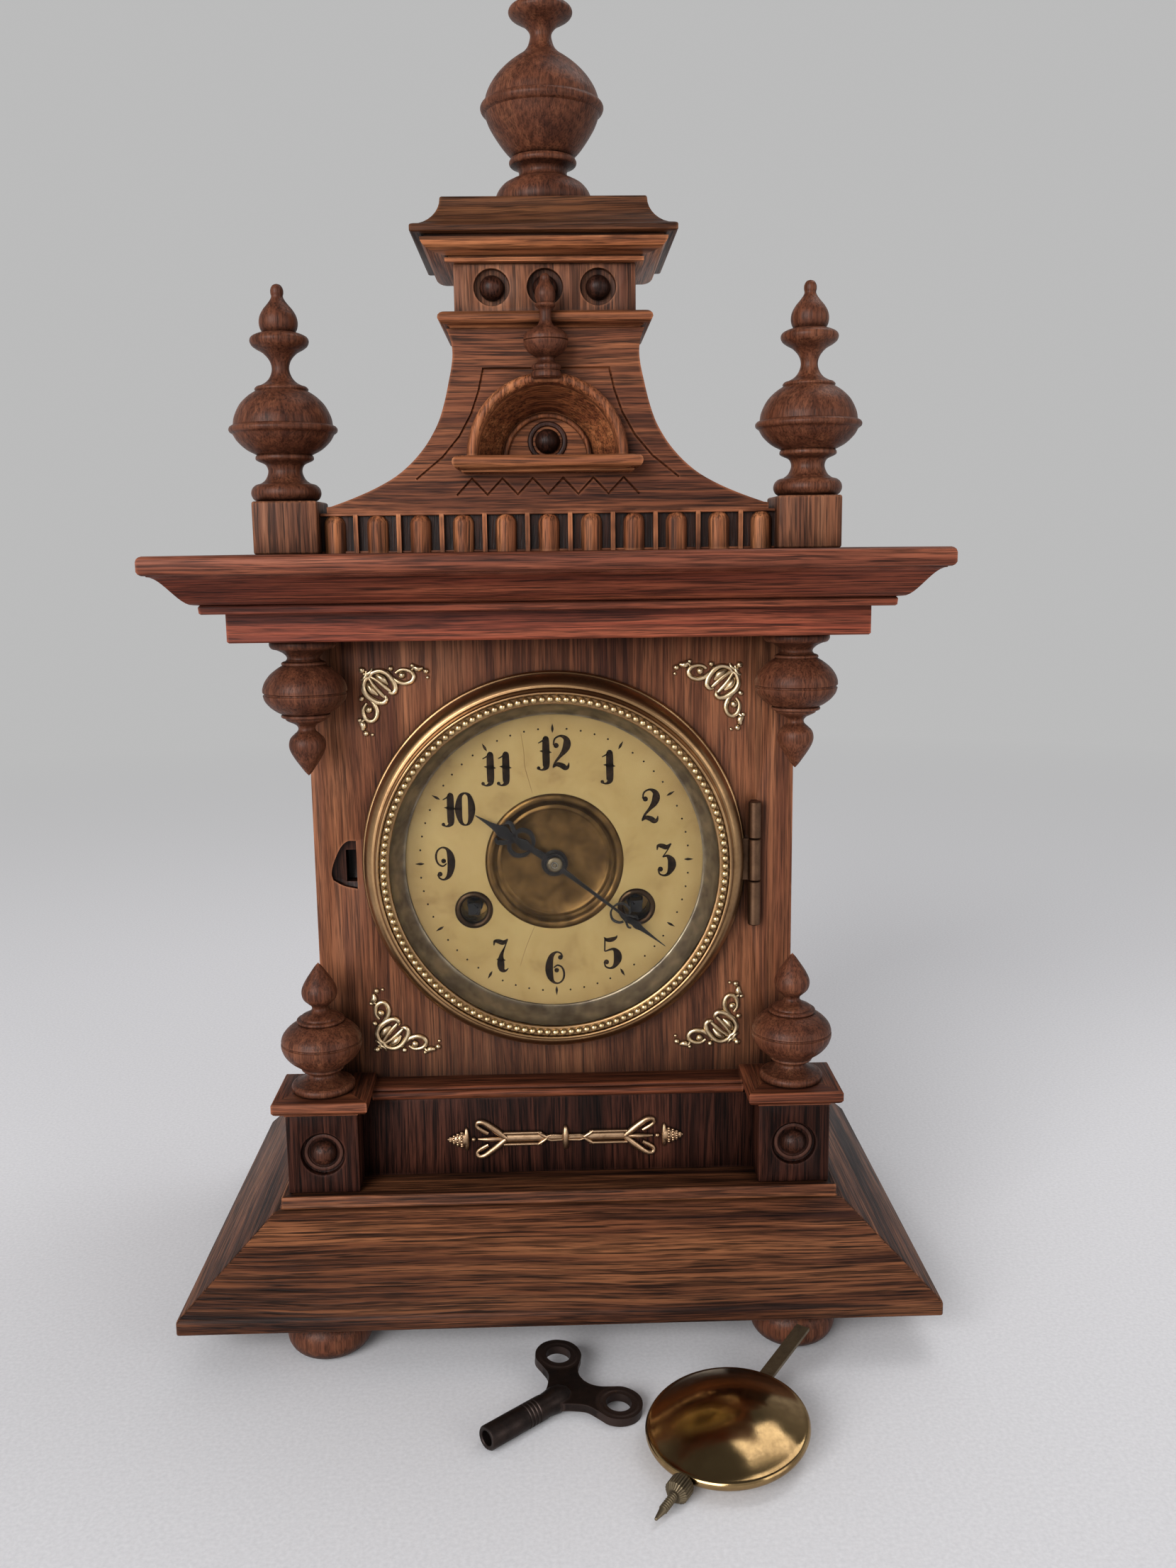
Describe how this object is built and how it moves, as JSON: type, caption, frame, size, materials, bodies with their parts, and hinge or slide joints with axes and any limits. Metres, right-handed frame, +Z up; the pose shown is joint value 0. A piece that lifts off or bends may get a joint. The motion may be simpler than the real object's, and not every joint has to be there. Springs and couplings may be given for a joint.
{
  "type": "table clock",
  "caption": "Oak bracket clock with turned urn finials, hinged brass bezel, striking spring movement, winding key and pendulum lying in front.",
  "frame": {"origin": "middle of the whole row's extent at table height", "axes": "+X to the right seen from the dial side, +Y to the back, +Z up"},
  "size_m": [0.2816, 0.2632, 0.5102],
  "materials": {
    "oak": "waxed, worn",
    "dark_oak": "waxed, turned",
    "brass": "aged",
    "steel": "dull",
    "black_steel": "blackened",
    "enamel": "cream enamel",
    "glass": "clear"
  },
  "bodies": {
    "case": {"base_plinth": "oak", "front_panel": "oak", "side_panel_left": "oak", "side_panel_right": "oak", "frieze_panel": "oak", "pedestal_left": "oak", "pedestal_right": "oak", "cornice": "oak", "finial_block_left": "oak", "finial_block_right": "oak", "fluted_frieze": "oak", "gable": "oak", "neck_block": "oak", "cap": "oak", "foot_front_left": "dark_oak", "foot_front_right": "dark_oak", "foot_back_left": "dark_oak", "foot_back_right": "dark_oak", "urn_lower_left": "dark_oak", "urn_lower_right": "dark_oak", "urn_upper_left": "dark_oak", "urn_upper_right": "dark_oak", "side_finial_left": "dark_oak", "side_finial_right": "dark_oak", "gable_urn": "dark_oak", "top_finial": "dark_oak", "bezel_hinge_post": "brass", "dial_ring": "enamel", "dial_centre": "brass", "movement_front_plate": "brass", "movement_back_plate": "brass", "suspension_cock": "brass", "gong": "steel", "gong_stand": "steel", "door_hinge_post": "brass"},
    "bezel": {"bezel": "brass", "bezel_glass": "glass", "sight_ring": "steel"},
    "minute_train": {"centre_arbor": "brass", "minute_hand": "black_steel", "hand_nut": "brass"},
    "hour_train": {"hour_wheel": "brass", "hour_hand": "black_steel"},
    "minute_wheel": {"minute_wheel": "brass"},
    "third_wheel": {"third_wheel": "brass"},
    "escape_wheel": {"escape_wheel": "brass"},
    "time_barrel": {"time_barrel": "brass", "time_mainspring": "steel"},
    "time_arbor": {"time_winding_arbor": "steel"},
    "strike_wheel": {"strike_pin_wheel": "brass"},
    "strike_barrel": {"strike_barrel": "brass", "strike_mainspring": "steel"},
    "strike_arbor": {"strike_winding_arbor": "steel"},
    "anchor": {"anchor": "steel"},
    "hammer": {"strike_hammer": "steel"},
    "door": {"back_door": "oak"},
    "key": {"winding_key": "black_steel"},
    "pendulum": {"pendulum_rod": "brass"},
    "bob": {"pendulum_bob": "brass"},
    "rating_nut": {"rating_nut": "steel"}
  },
  "joints": [
    {"name": "bezel_swing", "type": "hinge", "parent": "case", "child": "bezel", "pos_m": [0.0782, 0.01362, 0.1766], "axis": [0, 0, 1], "range_deg": [0, 90]},
    {"name": "minute_turn", "type": "hinge", "parent": "case", "child": "minute_train", "pos_m": [0, 0.04762, 0.1766], "axis": [0, 1, 0], "continuous": true},
    {"name": "hour_turn", "type": "hinge", "parent": "case", "child": "hour_train", "pos_m": [0, 0.04762, 0.1766], "axis": [0, 1, 0], "continuous": true},
    {"name": "minute_wheel_turn", "type": "hinge", "parent": "case", "child": "minute_wheel", "pos_m": [0, 0.04762, 0.1946], "axis": [0, 1, 0], "continuous": true},
    {"name": "third_turn", "type": "hinge", "parent": "case", "child": "third_wheel", "pos_m": [0.0132, 0.04762, 0.19946], "axis": [0, 1, 0], "continuous": true},
    {"name": "escape_turn", "type": "hinge", "parent": "case", "child": "escape_wheel", "pos_m": [0, 0.04762, 0.21706], "axis": [0, 1, 0], "continuous": true},
    {"name": "time_barrel_turn", "type": "hinge", "parent": "case", "child": "time_barrel", "pos_m": [0.032, 0.04762, 0.1577], "axis": [0, 1, 0], "continuous": true},
    {"name": "strike_wheel_turn", "type": "hinge", "parent": "case", "child": "strike_wheel", "pos_m": [-0.04592, 0.04762, 0.19216], "axis": [0, 1, 0], "continuous": true},
    {"name": "strike_barrel_turn", "type": "hinge", "parent": "case", "child": "strike_barrel", "pos_m": [-0.032, 0.04762, 0.1577], "axis": [0, 1, 0], "continuous": true},
    {"name": "time_wind", "type": "hinge", "parent": "case", "child": "time_arbor", "pos_m": [0.032, 0.01762, 0.1577], "axis": [0, 1, 0], "range_deg": [0, 1800]},
    {"name": "strike_wind", "type": "hinge", "parent": "case", "child": "strike_arbor", "pos_m": [-0.032, 0.01762, 0.1577], "axis": [0, 1, 0], "range_deg": [0, 1800]},
    {"name": "anchor_rock", "type": "hinge", "parent": "case", "child": "anchor", "pos_m": [0, 0.04762, 0.2367], "axis": [0, 1, 0], "range_deg": [-3, 3]},
    {"name": "hammer_swing", "type": "hinge", "parent": "case", "child": "hammer", "pos_m": [-0.06, 0.04762, 0.2126], "axis": [0, 1, 0], "range_deg": [0, 12]},
    {"name": "door_swing", "type": "hinge", "parent": "case", "child": "door", "pos_m": [0.0836, 0.12812, 0.16], "axis": [0, 0, -1], "range_deg": [0, 100]},
    {"name": "key_draw", "type": "slide", "parent": "case", "child": "key", "axis": [-0.7549, -0.6559, 0], "range_m": [0, 0.045]},
    {"name": "pendulum_draw", "type": "slide", "parent": "case", "child": "pendulum", "axis": [0, -1, 0], "range_m": [0, 0.05]},
    {"name": "bob_slide", "type": "slide", "parent": "pendulum", "child": "bob", "axis": [0.589, 0.7989, 0.1219], "range_m": [-0.004, 0.004]},
    {"name": "nut_turn", "type": "hinge", "parent": "bob", "child": "rating_nut", "pos_m": [0.0545, -0.09488, 0.0083], "axis": [0.589, 0.7989, 0.1219], "range_deg": [-1440, 1440]}
  ],
  "couplings": [
    {"joint": "hour_turn", "follows": "minute_turn", "ratio": 0.083333},
    {"joint": "minute_wheel_turn", "follows": "minute_turn", "ratio": -0.33333},
    {"joint": "third_turn", "follows": "minute_turn", "ratio": -10},
    {"joint": "escape_turn", "follows": "minute_turn", "ratio": 90},
    {"joint": "time_barrel_turn", "follows": "minute_turn", "ratio": -0.125},
    {"joint": "strike_barrel_turn", "follows": "strike_wheel_turn", "ratio": -0.125},
    {"joint": "nut_turn", "follows": "bob_slide", "rad_per_m": 6283.2}
  ]
}
